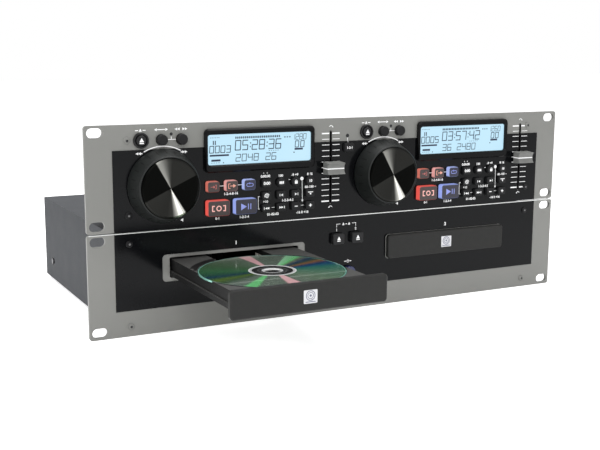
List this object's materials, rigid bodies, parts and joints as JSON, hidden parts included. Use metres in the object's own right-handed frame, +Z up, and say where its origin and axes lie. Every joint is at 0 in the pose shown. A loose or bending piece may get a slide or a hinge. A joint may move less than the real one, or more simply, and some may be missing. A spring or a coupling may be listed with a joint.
{
  "type": "dual disc player with rack controller",
  "caption": "Rack-mounted twin disc player: a transport with two loading trays, one open on its disc, under a controller with jog wheels, pitch faders, displays and keys.",
  "frame": {"origin": "middle of the lower rack panel's bottom edge, on the front face of the panel", "axes": "+X to the right as the user faces it, +Y to the back, +Z up"},
  "size_m": [0.4826, 0.4065, 0.177],
  "materials": {
    "grey_panel": "satin grey enamel",
    "black_overlay": "semi-gloss black printed sheet",
    "case_steel": "dark blue-grey powder coat",
    "zinc_steel": "zinc-plated sheet",
    "screw_steel": "plated",
    "key_plastic": "matte black",
    "silicone": "matte silicone",
    "lit_key_red": "translucent, lit from behind",
    "lit_key_blue": "translucent, lit from behind",
    "jog_plastic": "soft black",
    "jog_metal": "spun, black anodised",
    "lcd_glass": "lit pale blue display",
    "bezel_plastic": "satin black frame",
    "fader_plastic": "silver-grey with a white line",
    "tray_plastic": "fine texture",
    "disc": "pressed disc, rainbow sheen",
    "gear_plastic": "natural acetal",
    "frame_plastic": "moulded black",
    "board": "green solder mask",
    "black_plastic": "moulded black",
    "rubber_foot": "matte"
  },
  "bodies": {
    "root_frame": {"transport_panel": "grey_panel", "controller_panel": "grey_panel", "panel_overlays": "black_overlay", "transport_chassis": "case_steel", "transport_cover": "case_steel", "controller_case": "case_steel", "feet": "rubber_foot", "case_screws": "screw_steel", "panel_screws": "screw_steel", "transport_boards": "board", "controller_board": "board", "power_supply": "zinc_steel", "mains_inlet": "black_plastic", "rear_sockets": "black_plastic", "drive_frames": "frame_plastic", "clamp_bridges": "zinc_steel", "lcd_bezels": "bezel_plastic", "lcd_modules": "lcd_glass", "fader_bodies": "zinc_steel"},
    "tray_a": {"tray_a": "tray_plastic", "tray_door_a": "tray_plastic"},
    "loading_gear_a": {"loading_gear_a": "gear_plastic"},
    "traverse_a": {"traverse_a": "frame_plastic"},
    "turntable_a": {"turntable_a": "black_plastic"},
    "pickup_a": {"pickup_a": "black_plastic"},
    "tray_b": {"tray_b": "tray_plastic", "tray_door_b": "tray_plastic"},
    "loading_gear_b": {"loading_gear_b": "gear_plastic"},
    "traverse_b": {"traverse_b": "frame_plastic"},
    "turntable_b": {"turntable_b": "black_plastic"},
    "pickup_b": {"pickup_b": "black_plastic"},
    "disc_a": {"disc_a": "disc"},
    "jog_ring_a": {"jog_ring_a": "jog_plastic"},
    "jog_disc_a": {"jog_disc_a": "jog_metal"},
    "fader_cap_a": {"fader_cap_a": "fader_plastic"},
    "deck_eject_key_a": {"deck_eject_key_a": "key_plastic"},
    "scratch_key_a": {"scratch_key_a": "key_plastic"},
    "search_key_a": {"search_key_a": "key_plastic"},
    "loop_in_key_a": {"loop_in_key_a": "lit_key_red"},
    "loop_out_key_a": {"loop_out_key_a": "lit_key_red"},
    "reloop_key_a": {"reloop_key_a": "lit_key_blue"},
    "cue_key_a": {"cue_key_a": "lit_key_red"},
    "play_key_a": {"play_key_a": "lit_key_blue"},
    "keypad_a": {"keypad_a": "silicone"},
    "tray_eject_key_a": {"tray_eject_key_a": "key_plastic"},
    "jog_ring_b": {"jog_ring_b": "jog_plastic"},
    "jog_disc_b": {"jog_disc_b": "jog_metal"},
    "fader_cap_b": {"fader_cap_b": "fader_plastic"},
    "deck_eject_key_b": {"deck_eject_key_b": "key_plastic"},
    "scratch_key_b": {"scratch_key_b": "key_plastic"},
    "search_key_b": {"search_key_b": "key_plastic"},
    "loop_in_key_b": {"loop_in_key_b": "lit_key_red"},
    "loop_out_key_b": {"loop_out_key_b": "lit_key_red"},
    "reloop_key_b": {"reloop_key_b": "lit_key_blue"},
    "cue_key_b": {"cue_key_b": "lit_key_red"},
    "play_key_b": {"play_key_b": "lit_key_blue"},
    "keypad_b": {"keypad_b": "silicone"},
    "tray_eject_key_b": {"tray_eject_key_b": "key_plastic"},
    "relay_key": {"relay_key": "key_plastic"},
    "power_key": {"power_key": "key_plastic"}
  },
  "joints": [
    {"name": "tray_slide_a", "type": "slide", "parent": "root_frame", "child": "tray_a", "axis": [0, 1, 0], "range_m": [0, 0.1366]},
    {"name": "loading_gear_turn_a", "type": "hinge", "parent": "root_frame", "child": "loading_gear_a", "pos_m": [-0.073, 0.017, 0.05], "axis": [0, 0, 1], "range_deg": [0, 870.12]},
    {"name": "traverse_lift_a", "type": "slide", "parent": "root_frame", "child": "traverse_a", "axis": [0, 0, 1], "range_m": [0, 0.0048]},
    {"name": "turntable_spin_a", "type": "hinge", "parent": "traverse_a", "child": "turntable_a", "pos_m": [-0.11, 0.0636, 0.05], "axis": [0, 0, 1], "continuous": true},
    {"name": "pickup_slide_a", "type": "slide", "parent": "traverse_a", "child": "pickup_a", "axis": [0, 1, 0], "range_m": [0, 0.035]},
    {"name": "tray_slide_b", "type": "slide", "parent": "root_frame", "child": "tray_b", "axis": [0, 1, 0], "range_m": [-0.1366, 0]},
    {"name": "loading_gear_turn_b", "type": "hinge", "parent": "root_frame", "child": "loading_gear_b", "pos_m": [0.147, 0.017, 0.05], "axis": [0, 0, 1], "range_deg": [-870.12, 0]},
    {"name": "traverse_lift_b", "type": "slide", "parent": "root_frame", "child": "traverse_b", "axis": [0, 0, 1], "range_m": [0, 0.0048]},
    {"name": "turntable_spin_b", "type": "hinge", "parent": "traverse_b", "child": "turntable_b", "pos_m": [0.11, 0.0636, 0.05], "axis": [0, 0, 1], "continuous": true},
    {"name": "pickup_slide_b", "type": "slide", "parent": "traverse_b", "child": "pickup_b", "axis": [0, 1, 0], "range_m": [0, 0.035]},
    {"name": "disc_lift_a", "type": "slide", "parent": "tray_a", "child": "disc_a", "axis": [0, 0, 1], "range_m": [0, 0.0014]},
    {"name": "jog_ring_turn_a", "type": "hinge", "parent": "root_frame", "child": "jog_ring_a", "pos_m": [-0.1757, -0.009, 0.1255], "axis": [0, 1, 0], "range_deg": [-45, 45], "stiffness_Nm_per_rad": 0.02},
    {"name": "jog_disc_spin_a", "type": "hinge", "parent": "root_frame", "child": "jog_disc_a", "pos_m": [-0.1757, -0.018, 0.1255], "axis": [0, 1, 0], "continuous": true},
    {"name": "fader_slide_a", "type": "slide", "parent": "root_frame", "child": "fader_cap_a", "axis": [0, 0, 1], "range_m": [-0.03, 0.03]},
    {"name": "deck_eject_key_a_press", "type": "slide", "parent": "root_frame", "child": "deck_eject_key_a", "axis": [0, 1, 0], "range_m": [0, 0.0012], "stiffness_N_per_m": 300},
    {"name": "scratch_key_a_press", "type": "slide", "parent": "root_frame", "child": "scratch_key_a", "axis": [0, 1, 0], "range_m": [0, 0.0012], "stiffness_N_per_m": 300},
    {"name": "search_key_a_press", "type": "slide", "parent": "root_frame", "child": "search_key_a", "axis": [0, 1, 0], "range_m": [0, 0.0012], "stiffness_N_per_m": 300},
    {"name": "loop_in_key_a_press", "type": "slide", "parent": "root_frame", "child": "loop_in_key_a", "axis": [0, 1, 0], "range_m": [0, 0.0012], "stiffness_N_per_m": 300},
    {"name": "loop_out_key_a_press", "type": "slide", "parent": "root_frame", "child": "loop_out_key_a", "axis": [0, 1, 0], "range_m": [0, 0.0012], "stiffness_N_per_m": 300},
    {"name": "reloop_key_a_press", "type": "slide", "parent": "root_frame", "child": "reloop_key_a", "axis": [0, 1, 0], "range_m": [0, 0.0012], "stiffness_N_per_m": 300},
    {"name": "cue_key_a_press", "type": "slide", "parent": "root_frame", "child": "cue_key_a", "axis": [0, 1, 0], "range_m": [0, 0.0012], "stiffness_N_per_m": 300},
    {"name": "play_key_a_press", "type": "slide", "parent": "root_frame", "child": "play_key_a", "axis": [0, 1, 0], "range_m": [0, 0.0012], "stiffness_N_per_m": 300},
    {"name": "keypad_a_press", "type": "slide", "parent": "root_frame", "child": "keypad_a", "axis": [0, 1, 0], "range_m": [0, 0.0008], "stiffness_N_per_m": 800},
    {"name": "tray_eject_key_a_press", "type": "slide", "parent": "root_frame", "child": "tray_eject_key_a", "axis": [0, 1, 0], "range_m": [0, 0.0012], "stiffness_N_per_m": 300},
    {"name": "jog_ring_turn_b", "type": "hinge", "parent": "root_frame", "child": "jog_ring_b", "pos_m": [0.0383, -0.009, 0.1255], "axis": [0, 1, 0], "range_deg": [-45, 45], "stiffness_Nm_per_rad": 0.02},
    {"name": "jog_disc_spin_b", "type": "hinge", "parent": "root_frame", "child": "jog_disc_b", "pos_m": [0.0383, -0.018, 0.1255], "axis": [0, 1, 0], "continuous": true},
    {"name": "fader_slide_b", "type": "slide", "parent": "root_frame", "child": "fader_cap_b", "axis": [0, 0, 1], "range_m": [-0.03, 0.03]},
    {"name": "deck_eject_key_b_press", "type": "slide", "parent": "root_frame", "child": "deck_eject_key_b", "axis": [0, 1, 0], "range_m": [0, 0.0012], "stiffness_N_per_m": 300},
    {"name": "scratch_key_b_press", "type": "slide", "parent": "root_frame", "child": "scratch_key_b", "axis": [0, 1, 0], "range_m": [0, 0.0012], "stiffness_N_per_m": 300},
    {"name": "search_key_b_press", "type": "slide", "parent": "root_frame", "child": "search_key_b", "axis": [0, 1, 0], "range_m": [0, 0.0012], "stiffness_N_per_m": 300},
    {"name": "loop_in_key_b_press", "type": "slide", "parent": "root_frame", "child": "loop_in_key_b", "axis": [0, 1, 0], "range_m": [0, 0.0012], "stiffness_N_per_m": 300},
    {"name": "loop_out_key_b_press", "type": "slide", "parent": "root_frame", "child": "loop_out_key_b", "axis": [0, 1, 0], "range_m": [0, 0.0012], "stiffness_N_per_m": 300},
    {"name": "reloop_key_b_press", "type": "slide", "parent": "root_frame", "child": "reloop_key_b", "axis": [0, 1, 0], "range_m": [0, 0.0012], "stiffness_N_per_m": 300},
    {"name": "cue_key_b_press", "type": "slide", "parent": "root_frame", "child": "cue_key_b", "axis": [0, 1, 0], "range_m": [0, 0.0012], "stiffness_N_per_m": 300},
    {"name": "play_key_b_press", "type": "slide", "parent": "root_frame", "child": "play_key_b", "axis": [0, 1, 0], "range_m": [0, 0.0012], "stiffness_N_per_m": 300},
    {"name": "keypad_b_press", "type": "slide", "parent": "root_frame", "child": "keypad_b", "axis": [0, 1, 0], "range_m": [0, 0.0008], "stiffness_N_per_m": 800},
    {"name": "tray_eject_key_b_press", "type": "slide", "parent": "root_frame", "child": "tray_eject_key_b", "axis": [0, 1, 0], "range_m": [0, 0.0012], "stiffness_N_per_m": 300},
    {"name": "relay_key_press", "type": "slide", "parent": "root_frame", "child": "relay_key", "axis": [0, 1, 0], "range_m": [0, 0.0012], "stiffness_N_per_m": 300},
    {"name": "power_key_press", "type": "slide", "parent": "root_frame", "child": "power_key", "axis": [0, 1, 0], "range_m": [0, 0.0025], "stiffness_N_per_m": 300}
  ],
  "couplings": [
    {"joint": "loading_gear_turn_a", "follows": "tray_slide_a", "rad_per_m": 111.11},
    {"joint": "loading_gear_turn_b", "follows": "tray_slide_b", "rad_per_m": 111.11}
  ]
}
